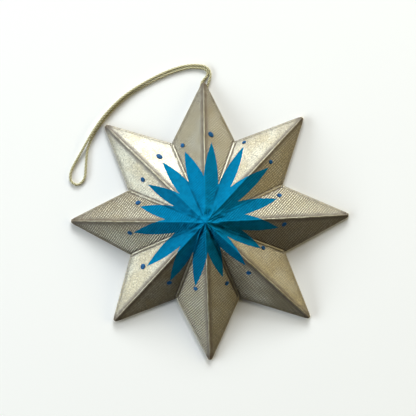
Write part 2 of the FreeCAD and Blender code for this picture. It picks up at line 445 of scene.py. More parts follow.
def surface_height(places):
    """Height of the folded surface at places in plan, near the apex."""
    heights = np.full(len(places), APEX[2])
    for fold in FOLDS:
        for side in SIDES:
            edges = np.array([fold.tip - APEX, fold.corner(side) - APEX])
            shares = np.linalg.solve(edges[:, :2].T, (places - APEX[:2]).T)
            on_it = (shares > -1e-6).all(axis=0)
            heights[on_it] = APEX[2] + edges[:, 2] @ shares[:, on_it]
    return heights


def flower_outline(belly=0.085, steps=8):
    """The flower's outline in plan: from each notch to the next, over a petal with full sides."""
    outline = []
    previous = plan_of(*PETALS[-1][2:])
    for reach, turn, notch_reach, notch_turn in PETALS:
        tip, notch = plan_of(reach, turn), plan_of(notch_reach, notch_turn)
        for start, end, side in ((previous, tip, -1), (tip, notch, -1)):
            run = end - start
            full = (start + end) / 2 + np.array([run[1], -run[0]]) * belly * side
            for step in range(steps):
                t = step / steps
                outline.append(start * (1 - t) ** 2 + full * 2 * t * (1 - t) + end * t * t)
        previous = notch
    return np.array(outline)


def paint_depth(places):
    """How far each place in plan is inside the flower's outline, and negative outside it."""
    outline = flower_outline()
    ends = np.roll(outline, -1, axis=0)
    inside = np.zeros(len(places), bool)
    for a, b in zip(outline, ends):
        spans = (a[1] > places[:, 1]) != (b[1] > places[:, 1])
        crossing = a[0] + (places[:, 1] - a[1]) * (b[0] - a[0]) / (b[1] - a[1] + 1e-12)
        inside ^= spans & (places[:, 0] < crossing)
    gap = to_segments(places, outline, ends)
    return np.where(inside, gap, -gap)


def store(mesh, name, values):
    layer = mesh.attributes.new(name, "FLOAT", "POINT")
    layer.data.foreach_set("value", np.asarray(values, np.float32))


def points_of(mesh):
    flat = np.zeros(len(mesh.vertices) * 3, np.float32)
    mesh.vertices.foreach_get("co", flat)
    return flat.reshape(-1, 3).astype(float)


def face_outward(mesh):
    """Turns a closed mesh's faces round if they came out facing inward."""
    points = points_of(mesh)
    mesh.calc_loop_triangles()
    corners = np.zeros(len(mesh.loop_triangles) * 3, np.int32)
    mesh.loop_triangles.foreach_get("vertices", corners)
    a, b, c = (points[corners[k::3]] for k in range(3))
    if np.sum(a * np.cross(b, c)) < 0:
        mesh.flip_normals()


def mark_folds(mesh):
    """Stores on each point how far it is from the folds, edges, tips and paint, in millimetres."""
    places = points_of(mesh)[:, :2]
    foot = APEX[:2]
    tips = [fold.tip[:2] for fold in FOLDS]
    corners = [fold.right[:2] for fold in FOLDS]
    around = [(fold.corner(side)[:2], fold.tip[:2]) for fold in FOLDS for side in SIDES]
    trims = np.array([fold.trim[:2] for fold in FOLDS])
    store(mesh, "ridge_mm", to_segments(places, [foot] * 8, tips) / MM)
    store(mesh, "valley_mm", to_segments(places, [foot] * 8, corners) / MM)
    store(mesh, "rim_mm", to_segments(places, *zip(*around)) / MM)
    tip_gap = np.linalg.norm(places[:, None] - trims[None], axis=2).min(axis=1)
    store(mesh, "tip_mm", tip_gap / MM)
    store(mesh, "apex_mm", np.linalg.norm(places - foot, axis=1) / MM)
    store(mesh, "paint_mm", paint_depth(places) / MM)


# ---------------------------------------------------------------- finishes


def painted_paper(name, colours, kind):
    """Champagne paint with a brown antique wash, painted shade in the rib grooves and along the
    valleys, painted highlights on the rib crests, strip crowns and apex, and the blue flower where
    it is painted.
    """
    finish = Finish(name, IOR=2.6, Specular_IOR_Level=0.5)
    place = finish.place
    ridge, valley = finish.mark("ridge_mm"), finish.mark("valley_mm")
    rim, tip, paint = finish.mark("rim_mm"), finish.mark("tip_mm"), finish.mark("paint_mm")
    apex = finish.mark("apex_mm")

    mottle = finish.noise(place, 9 * MM, 3.0)
    blotch = finish.noise(place, 2.2 * MM, 3.0, 0.6)
    grain = finish.noise(place, 0.6 * MM, 2.0, 0.7)
    fine = finish.noise(place, 0.25 * MM, 1.0)
    base = finish.mix(mottle.smooth(0.4, 0.65), rgba(colours.champagne), rgba(colours.silver))
    speckle = grain.smooth(0.5, 0.62) * 0.75 + blotch.smooth(0.52, 0.72) * 0.2
    base = finish.mix(speckle, base, rgba([c * 0.35 for c in colours.champagne]))
    fleck = finish.noise(place, 0.8 * MM, 2.0, 0.75).smooth(0.54, 0.68)
    # Lighter silver, for random flecks and for painted highlights on crests.
    fleck_and_highlight = rgba([min(1, c * 1.8) for c in colours.silver])
    base = finish.mix(fleck * 0.55, base, fleck_and_highlight)

    ragged = blotch * 1.2 + mottle * 0.8
    wash_and_shade = (tip.smooth(7.0, 0.5) * 0.85).largest(tip.smooth(22.0, 3.0) * 0.36) * ragged
    if kind == "facing":
        rib = finish.mark("rib")
        lines = ridge.smooth(0.4, 0.5) * ridge.smooth(0.95, 0.7)
        lines = lines.largest(valley.smooth(0.55, 0.7) * valley.smooth(1.2, 0.9))
        soft = (ridge.smooth(2.8, 0.5) * 0.7).largest(valley.smooth(2.0, 0.6) * 0.28)
        soft = soft.largest(rim.smooth(3.2, 0.2) * 0.34)
        wash_and_shade = wash_and_shade.largest(soft * ragged).largest(lines * blotch.smooth(0.3, 0.5) * 0.85)
        # Painted shade: the rib grooves are darkened, in part as antique wash settled in them.
        wash_and_shade = wash_and_shade.largest(rib.smooth(0.08, -0.45) * 0.7)
        # Painted highlight: the rib crests are lightened.
        base = finish.mix(rib.smooth(0.08, 0.5) * 0.5, base, fleck_and_highlight)
    elif kind == "seam":
        crown = 1 - abs(finish.mark("across"))
        wash_and_shade = wash_and_shade.largest(crown.smooth(0.55, 0.1) * 0.7 * blotch.smooth(0.25, 0.5))
        # Wear and painted highlight: the strip's crown is lightened.
        wear_and_highlight = crown.smooth(0.5, 0.8) * blotch.smooth(0.44, 0.6) * 0.5
        base = finish.mix(wear_and_highlight, base, fleck_and_highlight)
    else:
        wash_and_shade = wash_and_shade.largest(rim.smooth(1.3, 0.2) * 0.3 * ragged)
    aged_and_shaded = finish.mix(wash_and_shade.smooth(0.0, 1.0), base, rgba(colours.antique_and_shade))
    finish.give("Base Color", aged_and_shaded)
    finish.give("Metallic", (1 - wash_and_shade * 0.7) * 0.6)
    finish.give("Roughness", 0.34 + grain * 0.12 + wash_and_shade * 0.2)
    finish.bump(grain * 0.8 + fine * 0.35, 0.10 * MM, 0.7)

    wobble = finish.noise(place, 0.9 * MM, 2.0) - 0.5
    blue = (paint + wobble * 0.5).smooth(-0.06, 0.06)
    stroke = finish.noise(place, 2.5 * MM, 3.0, 0.6)
    dark_blue = rgba([c * 0.75 for c in colours.flower])
    # Darker blue, used only as painted shade.
    shaded_blue = rgba([c * 0.3 for c in colours.flower])
    finish.cover(blue.largest(wash_and_shade * 0.62), IOR=1.2, Specular_IOR_Level=0.12)
    petal = finish.mix(stroke.smooth(0.3, 0.75), rgba(colours.flower), dark_blue)
    if kind == "facing":
        # Painted shade: the blue is darkened in the rib grooves.
        petal = finish.mix(rib.smooth(0.05, -0.45) * 0.55, petal, shaded_blue)
    # Painted shade: the blue is darkened along the valley creases, away from the apex.
    valley_shade = valley.smooth(0.75, 0.15) * mottle.smooth(0.38, 0.6) * apex.smooth(2.0, 8.0)
    petal = finish.mix(valley_shade * 0.85, petal, shaded_blue)
    # Painted highlight: the blue is lightened round the raised apex.
    apex_highlight_blue = rgba([min(1, c * 1.35) for c in colours.flower])
    petal = finish.mix(apex.smooth(4.0, 0.5) * 0.8, petal, apex_highlight_blue)
    finish.give("Base Color", finish.mix(blue, rgba(colours.antique_and_shade), petal))
    finish.give("Roughness", 0.6 + grain * 0.2)
    finish.bump(grain, 0.06 * MM, 0.6)
    return finish.material


def drop_paint(colours):
    finish = Finish("Royal blue drops", Roughness=0.6, Specular_IOR_Level=0.2)
    cloud = finish.noise(finish.place, 0.8 * MM, 3.0)
    light = rgba([min(1, c * 2.1) for c in colours.drops])
    finish.give("Base Color", finish.mix(cloud.smooth(0.35, 0.7), rgba(colours.drops), light))
    finish.bump(cloud, 0.08 * MM, 0.4)
    return finish.material


def bare_card(colours):
    finish = Finish("Back card", Roughness=0.85)
    fibre = finish.noise(finish.place, 0.5 * MM, 4.0, 0.7)
    cloud = finish.noise(finish.place, 12 * MM, 3.0)
    dark = rgba([c * 0.6 for c in colours.card])
    light = rgba([min(1, c * 1.25) for c in colours.card])
    tone = finish.mix(cloud.smooth(0.3, 0.7), rgba(colours.card), light)
    finish.give("Base Color", finish.mix(fibre.smooth(0.55, 0.75) * 0.6, tone, dark))
    finish.give("Roughness", 0.75 + fibre * 0.2)
    finish.bump(fibre, 0.06 * MM, 0.6)
    return finish.material


def twine_fibre(colours):
    finish = Finish("Twine", Roughness=0.7)
    groove = finish.mark("groove")
    fibre = finish.noise(finish.place, 0.25 * MM, 3.0, 0.7)
    light = rgba([min(1, c * 1.35) for c in colours.straw])
    tone = finish.mix(fibre.smooth(0.35, 0.7), rgba(colours.straw), light)
    # Painted shade: the fibres are darker towards the grooves where the plies meet.
    shade = groove.smooth(0.78, 0.38)
    finish.give("Base Color", finish.mix(shade, tone, rgba(colours.straw_painted_shade)))
    finish.give("Roughness", 0.6 + fibre * 0.25)
    finish.bump(fibre, 0.05 * MM, 0.5)
    return finish.material


def floor_finish(colours):
    finish = Finish("Floor", Roughness=0.9)
    cloud = finish.noise(finish.place, 0.25, 2.0)
    dim = rgba([c * 0.985 for c in colours.floor])
    finish.give("Base Color", finish.mix(cloud, rgba(colours.floor), dim))
    return finish.material


# ---------------------------------------------------------------- geometry trees


def scaled(tree, vector, factor):
    """A vector times a number that is worked out."""
    made = tree.vector("SCALE", vector)
    tree.feed(made.socket.node.inputs["Scale"], factor)
    return made


def round_apex(tree, place):
    """How far a place is from the apex in plan, and its direction as a point of a small circle."""
    level = tree.vector("MULTIPLY", tree.vector("SUBTRACT", place, tree.given("Apex")),
                        (1.0, 1.0, 0.0))
    ray = scaled(tree, tree.vector("NORMALIZE", level), 5 * MM)
    return tree.vector("LENGTH", level, output="Value"), ray


def lifted(tree, rise):
    """An offset straight up."""
    return tree.node("ShaderNodeCombineXYZ", {}, [0.0, 0.0, rise])


def creased(tree, place):
    """How the creases that run out from the apex lift or sink a place."""
    reach, ray = round_apex(tree, place)
    spokes = tree.vector("ADD", ray, lifted(tree, reach * 0.3))
    crease = abs(tree.noise(spokes, 2.4 * MM, 1.0, 0.55) - 0.5).smooth(0.0, 0.2)
    lumps = (tree.noise(place, 3.6 * MM, 1.0) - 0.5) * 1.5
    near = tree.node(
        "ShaderNodeMapRange", {"interpolation_type": "SMOOTHSTEP"},
        {"Value": reach, "From Min": 2.0 * MM, "From Max": tree.given("Crumple reach"),
         "To Min": 1.0, "To Max": 0.0})
    rise = (0.55 - crease + lumps) * near * reach.smooth(0.0, 5.0 * MM)
    return lifted(tree, rise * tree.given("Crumple height"))


def facing_tree():
    """Ribbed facing paper on flat facets: ribs die out at the folds, creases gather at the apex."""
    tree = Shaper(
        "Ribbed facing", level=7, rib_pitch=0.9 * MM, rib_height=0.1 * MM, rib_turn=0.73,
        fold_fade=0.7 * MM, crumple_reach=11 * MM, crumple_height=0.4 * MM, apex=(0.0, 0.0, 0.0))
    flat = tree.given("Geometry")
    fine = tree.node(
        "GeometryNodeSubdivideMesh", {}, {"Mesh": flat, "Level": tree.given("Level")})
    place = tree.node("GeometryNodeInputPosition")
    turn = tree.given("Rib turn")
    sine, cosine = tree.math("SINE", turn), tree.math("COSINE", turn)
    over_ribs = tree.node("ShaderNodeCombineXYZ", {}, [0 - sine, cosine, 0.0])
    down_ribs = tree.node("ShaderNodeCombineXYZ", {}, [cosine, sine, 0.0])
    drift = (tree.noise(place, 5 * MM, 2.0) - 0.5) * 0.9 * MM
    phase = tree.vector("DOT_PRODUCT", place, over_ribs, output="Value") + drift
    wave = tree.math("COSINE", phase / tree.given("Rib pitch") * math.tau)
    weft_phase = tree.vector("DOT_PRODUCT", place, down_ribs, output="Value") + drift * 0.6
    weft = tree.math("COSINE", weft_phase / tree.given("Rib pitch") * (math.tau * 0.62))
    shown = tree.node("GeometryNodeInputNamedAttribute", {"data_type": "FLOAT"},
                      {"Name": "rib_strength"})
    patchy = tree.noise(place, 9 * MM, 2.0).smooth(0.2, 0.55) * 0.5 + 0.5
    rib = (wave * 0.8 + weft * wave * 0.25 + weft * 0.15) * shown * patchy
    to_edge = tree.node(
        "GeometryNodeProximity", {"target_element": "EDGES"}, {0: flat}, output="Distance")
    fade = tree.node(
        "ShaderNodeMapRange", {"interpolation_type": "SMOOTHSTEP"},
        {"Value": to_edge, "From Max": tree.given("Fold fade")})

    height = rib * 0.5 * tree.given("Rib height") * fade
    relief = scaled(tree, tree.node("GeometryNodeInputNormal"), height)
    offset = tree.vector("ADD", relief, creased(tree, place))
    moved = tree.node("GeometryNodeSetPosition", {}, {"Geometry": fine, "Offset": offset})
    kept = tree.node(
        "GeometryNodeStoreNamedAttribute", {"data_type": "FLOAT", "domain": "POINT"},
        {"Geometry": moved, "Name": "rib", "Value": rib * fade})
    return tree.finish(kept)


def strip_tree():
    """A paper strip bent over a fold: a closed crowned bead from start to end on two faces."""
    tree = Shaper(
        "Folded strip", start=(0.0, 0.0, 0.0), end=(0.0, 0.0, 0.0), first_leg=(0.0, 0.0, 0.0),
        second_leg=(0.0, 0.0, 0.0), first_normal=(0.0, 0.0, 1.0), second_normal=(0.0, 0.0, 1.0),
        crest=(0.0, 0.0, 0.0), thickness=0.25 * MM, bead=0.15 * MM, sink=0.06 * MM,
        unevenness=0.1 * MM, seed=0.0, stations=60, apex=(0.0, 0.0, 0.0),
        crumple_reach=11 * MM, crumple_height=0.4 * MM)
    rod = tree.node(
        "GeometryNodeMeshCylinder", {"fill_type": "NGON"},
        {"Vertices": 20, "Side Segments": tree.given("Stations"), "Radius": 1.0, "Depth": 1.0})
    place = tree.node("GeometryNodeInputPosition")
    x, y, z = tree.parts(place)
    start = tree.given("Start")
    run = tree.vector("SUBTRACT", tree.given("End"), start)
    middle = scaled(tree, run, z + 0.5)
    spot = tree.vector("ADD", start, middle)
    shift = tree.node("ShaderNodeCombineXYZ", {}, [tree.given("Seed"), 0.0, 0.0])
    moved_spot = tree.vector("ADD", spot, shift)
    wander = tree.noise(moved_spot, 4 * MM, 2.0) - 0.5
    swell = tree.noise(moved_spot, 1.5 * MM, 3.0, 0.6) - 0.5

    left, right = (0 - x).largest(0.0), x.largest(0.0)
    widen = 1 + swell * 0.5
    legs = tree.vector(
        "ADD", scaled(tree, tree.given("First leg"), left * widen),
        scaled(tree, tree.given("Second leg"), right * widen))
    upper, lower = y.largest(0.0), (0 - y).largest(0.0)
    crown = (1 - abs(x)) ** 1.5
    away = tree.vector(
        "LENGTH", tree.vector("SUBTRACT", spot, tree.given("Apex")), output="Value")
    proud = away.smooth(6 * MM, 15 * MM) * 0.8 + 0.2
    lift = (tree.given("Thickness") * upper ** 0.6 * proud
            + tree.given("Bead") * upper * crown * proud
            + swell * tree.given("Unevenness") * upper * proud - tree.given("Sink") * lower)
    side = x.smooth(-0.45, 0.45)
    outward = tree.node(
        "ShaderNodeMix", {"data_type": "VECTOR"},
        {0: side, 4: tree.given("First normal"), 5: tree.given("Second normal")}, output=1)
    raised = scaled(tree, outward, lift)
    sideways = scaled(tree, tree.given("Crest"), wander)
    final = tree.vector("ADD", tree.vector("ADD", spot, legs),
                        tree.vector("ADD", raised, sideways))
    final = tree.vector("ADD", final, creased(tree, tree.vector("ADD", spot, legs)))
    marked = tree.node(
        "GeometryNodeStoreNamedAttribute", {"data_type": "FLOAT", "domain": "POINT"},
        {"Geometry": rod, "Name": "across", "Value": x})
    shape = tree.node("GeometryNodeSetPosition", {}, {"Geometry": marked, "Position": final})
    return tree.finish(shape)


def patch_tree():
    """The apex patch: it follows the creases and has small pleats of its own."""
    tree = Shaper("Apex patch", apex=(0.0, 0.0, 0.0), crumple_reach=11 * MM,
                  crumple_height=0.4 * MM, pleat_height=0.3 * MM)
    place = tree.node("GeometryNodeInputPosition")
    reach, ray = round_apex(tree, place)
    pleat = 0.5 - abs(tree.noise(ray, 1.6 * MM, 1.0) - 0.5).smooth(0.0, 0.15)
    rise = pleat * tree.given("Pleat height") * reach.smooth(0.0, 1.2 * MM)
    offset = tree.vector("ADD", lifted(tree, rise), creased(tree, place))
    moved = tree.node("GeometryNodeSetPosition", {},
                      {"Geometry": tree.given("Geometry"), "Offset": offset})
    return tree.finish(moved)


def drops_tree():
    """Raised paint drops on marked points, each its own size and squarely on its facet."""
    tree = Shaper("Paint drops", drop_radius=1.0 * MM, drop_height=0.4 * MM, unevenness=0.25)
    ball = tree.node("GeometryNodeMeshUVSphere", {},
                     {"Segments": 24, "Rings": 14, "Radius": 1.0})
    place = tree.node("GeometryNodeInputPosition")
    x, y, z = tree.parts(place)
    middle = (x * x + y * y).smooth(0.45, 0.0)
    radius = tree.given("Drop radius")
    height = z * tree.given("Drop height") * (1 - middle * 0.3)
    form = tree.node("ShaderNodeCombineXYZ", {}, [x * radius, y * radius, height])
    drop = tree.node("GeometryNodeSetPosition", {}, {"Geometry": ball, "Position": form})
    way, size, spin = (
        tree.node("GeometryNodeInputNamedAttribute", {"data_type": kind}, {"Name": name})
        for name, kind in (("way", "FLOAT_VECTOR"), ("size", "FLOAT_VECTOR"), ("spin", "FLOAT")))
    upright = tree.node(
        "FunctionNodeAlignRotationToVector", {"axis": "Z"}, {"Vector": way})
    turned = tree.node("FunctionNodeRotateRotation", {"rotation_space": "LOCAL"},
                       {"Rotation": upright, "Rotate By": tree.node(
                           "FunctionNodeAxisAngleToRotation", {},
                           {"Axis": (0.0, 0.0, 1.0), "Angle": spin})})
    placed = tree.node(
        "GeometryNodeInstanceOnPoints", {},
        {"Points": tree.given("Geometry"), "Instance": drop, "Rotation": turned, "Scale": size})
    solid = tree.node("GeometryNodeRealizeInstances", {}, [placed])
    bulge = (tree.noise(place, 0.9 * MM, 1.0) - 0.5) * tree.given("Unevenness") * radius
    pushed = scaled(tree, tree.node("GeometryNodeInputNormal"), bulge)
    uneven = tree.node("GeometryNodeSetPosition", {}, {"Geometry": solid, "Offset": pushed})
    return tree.finish(uneven)


# ---------------------------------------------------------------- pieces


class STAR_OT_stage(bpy.types.Operator):
    """Camera straight above the star, the plain floor and soft studio lights"""

    bl_idname = "star.stage"
    bl_label = "Stage"

    AIM = (-0.03 * MM, 5.46 * MM)
    ROLL = math.radians(-1.6)
    # name, turn from +X, height above the horizon, size across and up, distance, power, colour
    LAMPS = (
        ("key_lamp", 87, 23, 1.4, 0.6, 2.5, 66.5, (0.89, 0.96, 1.0)),
        ("high_lamp", 62, 34, 1.3, 0.6, 2.5, 20.0, (0.91, 0.965, 1.0)),
        ("back_lamp", 130, 33, 1.3, 0.6, 2.5, 9.0, (1.0, 1.0, 1.0)),
        ("left_lamp", 183, 21, 2.6, 0.6, 2.5, 64.0, (0.82, 0.925, 1.0)),
        ("right_lamp", 5, 22, 2.0, 0.6, 2.5, 19.0, (1.0, 0.87, 0.50)),
    )

    def execute(self, context):
        sizes, colours = context.scene.star_sizes, context.scene.star_colours
        self.camera(context, sizes)
        self.floor(context, colours)
        for lamp in self.LAMPS:
            self.lamp(context, *lamp)
        self.surroundings(context)
        return {"FINISHED"}

    def camera(self, context, sizes):
        data = bpy.data.cameras.new("camera")
        data.sensor_width = 36.0
        data.lens = data.sensor_width * sizes.camera_height / sizes.view_width
        data.clip_start, data.clip_end = 0.01, 10.0
        camera = bpy.data.objects.new("camera", data)
        camera.location = (*self.AIM, sizes.camera_height)
        camera.rotation_euler = (0, 0, self.ROLL)
        context.scene.collection.objects.link(camera)
        context.scene.camera = camera

    def floor(self, context, colours):
        half = 3.0
        corners = [(-half, -half, 0), (half, -half, 0), (half, half, 0), (-half, half, 0)]
        floor = bpy.data.objects.new("floor", mesh_of("floor", corners, [(0, 1, 2, 3)]))
        floor.data.materials.append(floor_finish(colours))
        context.scene.collection.objects.link(floor)

    def lamp(self, context, name, turn, height, across, up, distance, power, tint):
        data = bpy.data.lights.new(name, "AREA")
        data.shape = "RECTANGLE"
        data.size, data.size_y = across, up
        data.energy = power
        data.color = tint
        lamp = bpy.data.objects.new(name, data)
        a, e = math.radians(turn), math.radians(height)
        way = Vector((math.cos(a) * math.cos(e), math.sin(a) * math.cos(e), math.sin(e)))
        lamp.location = way * distance
        lamp.rotation_euler = way.to_track_quat("Z", "Y").to_euler()
        lamp.visible_camera = False
        context.scene.collection.objects.link(lamp)

    def surroundings(self, context):
        world = bpy.data.worlds.new("studio")
        world.use_nodes = True
        back = world.node_tree.nodes["Background"]
        back.inputs["Color"].default_value = (1.0, 1.0, 1.0, 1.0)
        back.inputs["Strength"].default_value = 0.02
        context.scene.world = world
        context.scene.view_settings.view_transform = "Standard"


class STAR_OT_twine(bpy.types.Operator):
    """The twisted twine, folded double, whose two ends are knotted inside the top point"""

    bl_idname = "star.twine"
    bl_label = "Hanging twine"

    PLIES = 3
    STEP = 0.22 * MM
    ROUND = 10

    def execute(self, context):
        sizes, colours = context.scene.star_sizes, context.scene.star_colours
        line = self.route(context)
        points, faces, groove = self.plies(line, sizes)
        twine = bpy.data.objects.new("twisted_twine", mesh_of("twisted_twine", points, faces))
        store(twine.data, "groove", groove)
        twine.data.materials.append(twine_fibre(colours))
        twine.data.shade_smooth()
        context.scene.collection.objects.link(twine)
        settle(twine, BODY, ["hanging_cord"])
        return {"FINISHED"}

    def route(self, context):
        """Even steps along the smooth line of the route."""
        curve = bpy.data.curves.new("twine_route", "CURVE")
        curve.dimensions = "3D"
        spline = curve.splines.new("NURBS")
        spline.points.add(len(TWINE_ROUTE) - 1)
        for point, place in zip(spline.points, TWINE_ROUTE):
            point.co = (*(c * MM for c in place), 1.0)
        spline.order_u = 3
        spline.use_endpoint_u = True
        spline.resolution_u = 24
        holder = bpy.data.objects.new("twine_route", curve)
        context.scene.collection.objects.link(holder)
        layers = bpy.context.evaluated_depsgraph_get()
        line_mesh = bpy.data.meshes.new_from_object(holder.evaluated_get(layers))
        line = points_of(line_mesh)
        bpy.data.objects.remove(holder)
        bpy.data.meshes.remove(line_mesh)
        run = np.concatenate([[0], np.cumsum(np.linalg.norm(np.diff(line, axis=0), axis=1))])
        even = np.linspace(0, run[-1], round(run[-1] / self.STEP))
        return np.stack([np.interp(even, run, line[:, k]) for k in range(3)], axis=1)

    def plies(self, line, sizes):
        """Points and faces of the plies laid round the line, and how deep each point is."""
        radius = sizes.twine_diameter / 2
        ply, orbit = radius * 0.54, radius * 0.55
        ahead = np.gradient(line, axis=0)
        ahead /= np.linalg.norm(ahead, axis=1)[:, None]
        across = np.zeros_like(line)
        across[0] = unit(np.cross(ahead[0], [0, 0, 1.0]))
        for i in range(1, len(line)):
            kept = across[i - 1] - ahead[i] * (across[i - 1] @ ahead[i])
            across[i] = unit(kept)
        up = np.cross(ahead, across)
        run = np.arange(len(line)) * np.linalg.norm(line[1] - line[0])
        points, faces, groove = [], [], []
        for p in range(self.PLIES):
            turn = run / sizes.twine_lay * math.tau + math.tau * p / self.PLIES
            out = across * np.cos(turn)[:, None] + up * np.sin(turn)[:, None]
            side = np.cross(ahead, out)
            middle = line + out * orbit
            base = len(points)
            for i in range(len(line)):
                for k in range(self.ROUND):
                    a = math.tau * k / self.ROUND
                    points.append(middle[i] + (out[i] * math.cos(a) + side[i] * math.sin(a)) * ply)
                    groove.append((1 + math.cos(a)) / 2)
            faces += tube_faces(base, len(line), self.ROUND)
        return points, faces, groove


def tube_faces(base, stations, around):
    """Quads of a tube whose rings follow each other from a first index, with flat ends."""
    faces = []
    for i in range(stations - 1):
        for k in range(around):
            a, b = base + i * around + k, base + i * around + (k + 1) % around
            faces.append((a, b, b + around, a + around))
    faces.append(tuple(base + k for k in reversed(range(around))))
    last = base + (stations - 1) * around
    faces.append(tuple(last + k for k in range(around)))
    return faces


class STAR_OT_points(bpy.types.Operator):
    """The folded card points with their ribbed facing paper and the flower painted on it"""

    bl_idname = "star.points"
    bl_label = "Card points"

    def execute(self, context):
        sizes, colours = context.scene.star_sizes, context.scene.star_colours
        tree = facing_tree()
        paper = painted_paper("Painted ribbed paper", colours, "facing")
        for number, fold, turn in zip(POINTS, FOLDS, RIB_TURNS):
            corners = (fold.apex, fold.left, fold.tip, fold.right)
            flat = mesh_of("facets", corners, [(0, 1, 2), (0, 2, 3)])
            layer = flat.attributes.new("rib_strength", "FLOAT", "FACE")
            layer.data.foreach_set("value", RIB_STRENGTHS[number - 1])
            piece = shaped(
                f"star_point_{number}", flat, tree, paper, level=sizes.facing_level,
                rib_pitch=sizes.rib_pitch, rib_height=sizes.rib_height,
                rib_turn=math.radians(turn), fold_fade=sizes.fold_fade,
                crumple_reach=sizes.crumple_reach, crumple_height=sizes.crumple_height,
                apex=tuple(fold.apex))
            outer = len(piece.data.vertices)
            self.back(piece.data, fold)
            mark_folds(piece.data)
            self.paint(piece.data, fold, outer, sizes)
            piece.data.shade_smooth()
            settle(piece, BODY, [f"point_card_{number}"])
        return {"FINISHED"}

    def back(self, mesh, fold):
        """Gives the facing its card: an inner skin, the edges between them and a blunt tip."""
        work = bmesh.new()
        work.from_mesh(mesh)
        if work.faces[:][0].normal.z < 0:
            bmesh.ops.reverse_faces(work, faces=work.faces)
        rib = work.verts.layers.float["rib"]
        edge = next(e for e in work.edges if e.is_boundary)
        ring = self.boundary(edge)
        foot = Vector(fold.foot)
        inner = [work.verts.new(foot + (v.co - foot) * fold.shrink) for v in ring]
        for vert in inner:
            vert[rib] = 0.0
        count = len(ring)
        for i in range(count):
            j = (i + 1) % count
            work.faces.new((ring[j], ring[i], inner[i], inner[j]))
        apex, tip = (
            min(range(count), key=lambda i: (ring[i].co.xy - Vector(place[:2])).length)
            for place in (fold.apex, fold.tip))
        for start, end in ((apex, tip), (tip, apex)):
            steps = (end - start) % count + 1
            loop = [inner[(start + k) % count] for k in range(steps)]
            work.faces.new(list(reversed(loop)))
        bmesh.ops.recalc_face_normals(work, faces=work.faces)
        work.to_mesh(mesh)
        work.free()

    def boundary(self, edge):
        """The outline's points in order, starting along an outline edge."""
        loop = edge.link_loops[0]
        ring = [loop.vert]
        at = loop.link_loop_next.vert
        came = edge
        while at is not ring[0]:
            ring.append(at)
            came = next(e for e in at.link_edges if e.is_boundary and e is not came)
            at = came.other_vert(at)
        return ring

    def paint(self, mesh, fold, outer, sizes):
        """Raises the painted flower and rounds off the trimmed tip."""
        points = points_of(mesh)
        depth = np.zeros(len(points), np.float32)
        mesh.attributes["paint_mm"].data.foreach_get("value", depth)
        film = np.clip(depth / 0.35 + 0.5, 0, 1)
        film = film * film * (3 - 2 * film) * sizes.paint_height
        sideways = (points - fold.foot) @ fold.across
        for side, chosen in zip(SIDES, (sideways > 0, sideways <= 0)):
            chosen[outer:] = False
            points[chosen] += film[chosen, None] * fold.normal(side)
        beyond = (points - fold.trim) @ fold.out
        soft = 1.2 * MM
        pulled = np.where(beyond > -soft, soft * np.tanh((beyond + soft) / soft) - soft, beyond)
        points += (pulled - beyond)[:, None] * fold.out
        mesh.vertices.foreach_set("co", points.astype(np.float32).ravel())
        mesh.update()


